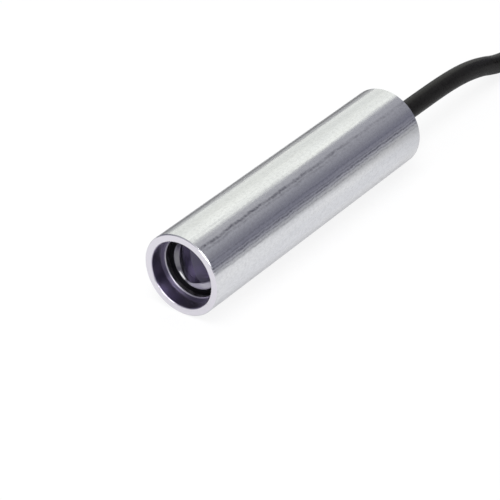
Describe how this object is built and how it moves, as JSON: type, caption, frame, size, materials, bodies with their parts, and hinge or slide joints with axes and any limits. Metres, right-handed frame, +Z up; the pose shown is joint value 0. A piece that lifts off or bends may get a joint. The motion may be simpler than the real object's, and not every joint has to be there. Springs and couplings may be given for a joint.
{
  "type": "laser diode module",
  "caption": "Slim plated tube with a line lens set back in its open front, a collimated laser diode with driver board inside, and a supply cable from its rear.",
  "frame": {"origin": "on the optical axis, half way along the barrel", "axes": "Y along the optical axis with the beam leaving towards -Y and the cable towards +Y, +Z up, the module lying on its side"},
  "size_m": [0.0303, 0.2018, 0.016],
  "materials": {
    "plated_metal": "satin",
    "spring_steel": "satin",
    "black_anodised": "matte",
    "lens_glass": "gloss",
    "brass": "satin",
    "gold_plate": "gloss",
    "can_steel": "satin",
    "insulation_film": "satin",
    "board_green": "satin",
    "chip_black": "matte",
    "trimmer_blue": "gloss",
    "capacitor_tan": "satin",
    "plug_black": "satin",
    "seal_rubber": "matte",
    "cable_black": "satin",
    "tie_nylon": "satin",
    "core_red": "satin",
    "core_black": "satin",
    "tinned_copper": "satin"
  },
  "bodies": {
    "root": {"housing_tube": "plated_metal", "retaining_ring": "spring_steel", "lens_cell": "black_anodised", "line_lens": "lens_glass", "diode_holder": "brass", "collimator_barrel": "brass", "collimator_lens": "lens_glass", "collimator_ring": "brass", "focus_spring": "spring_steel", "diode_header": "gold_plate", "laser_chip": "chip_black", "diode_can": "can_steel", "diode_window": "lens_glass", "diode_leads": "gold_plate", "diode_clamp_ring": "brass", "insulating_sleeve": "insulation_film", "circuit_board": "board_green", "driver_chip": "chip_black", "current_trimmer": "trimmer_blue", "capacitors": "capacitor_tan", "resistors": "chip_black", "surge_diode": "chip_black", "end_plug": "plug_black", "end_seal": "seal_rubber", "cable_gland": "seal_rubber", "cable": "cable_black", "cable_hank": "cable_black", "cable_tie": "tie_nylon", "red_core": "core_red", "black_core": "core_black", "red_lead": "core_red", "black_lead": "core_black", "lead_tips": "tinned_copper"}
  },
  "joints": []
}
